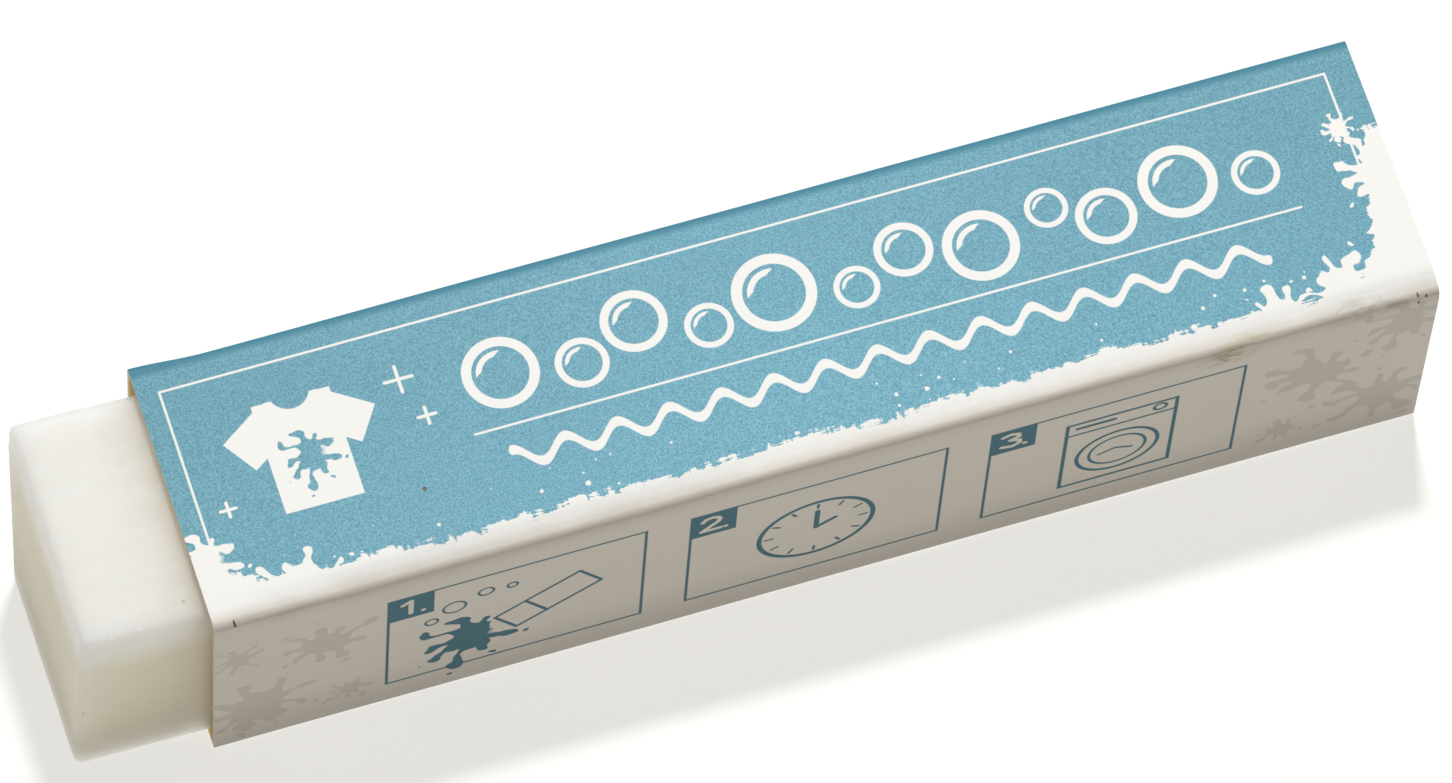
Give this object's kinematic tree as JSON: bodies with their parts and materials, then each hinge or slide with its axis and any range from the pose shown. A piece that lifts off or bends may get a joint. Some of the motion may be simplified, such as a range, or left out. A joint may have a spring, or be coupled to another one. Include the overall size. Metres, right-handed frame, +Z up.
{
  "type": "stain remover stick",
  "caption": "Square bar of stain-removing soap that slides in a folded card sleeve with open ends, its tip standing out of the mouth for rubbing on cloth.",
  "frame": {"origin": "on the surface the stick lies on, below the middle of its whole length and width, with the bar's tip standing out of the mouth as in the picture", "axes": "+X along the stick, from the tip of the soap towards the sleeve's far end; +Y towards the back panel, which covers the glue flap; +Z up, out of the printed top panel"},
  "size_m": [0.1088, 0.0226, 0.0225],
  "materials": {
    "card": "satin",
    "glue": "satin",
    "soap": "satin"
  },
  "bodies": {
    "sleeve": {"card_sleeve": "card", "glue_strip": "glue"},
    "bar": {"soap_bar": "soap"}
  },
  "joints": [
    {"name": "bar_slide", "type": "slide", "parent": "sleeve", "child": "bar", "axis": [1, 0, 0], "range_m": [-0.09, 0.111]}
  ]
}
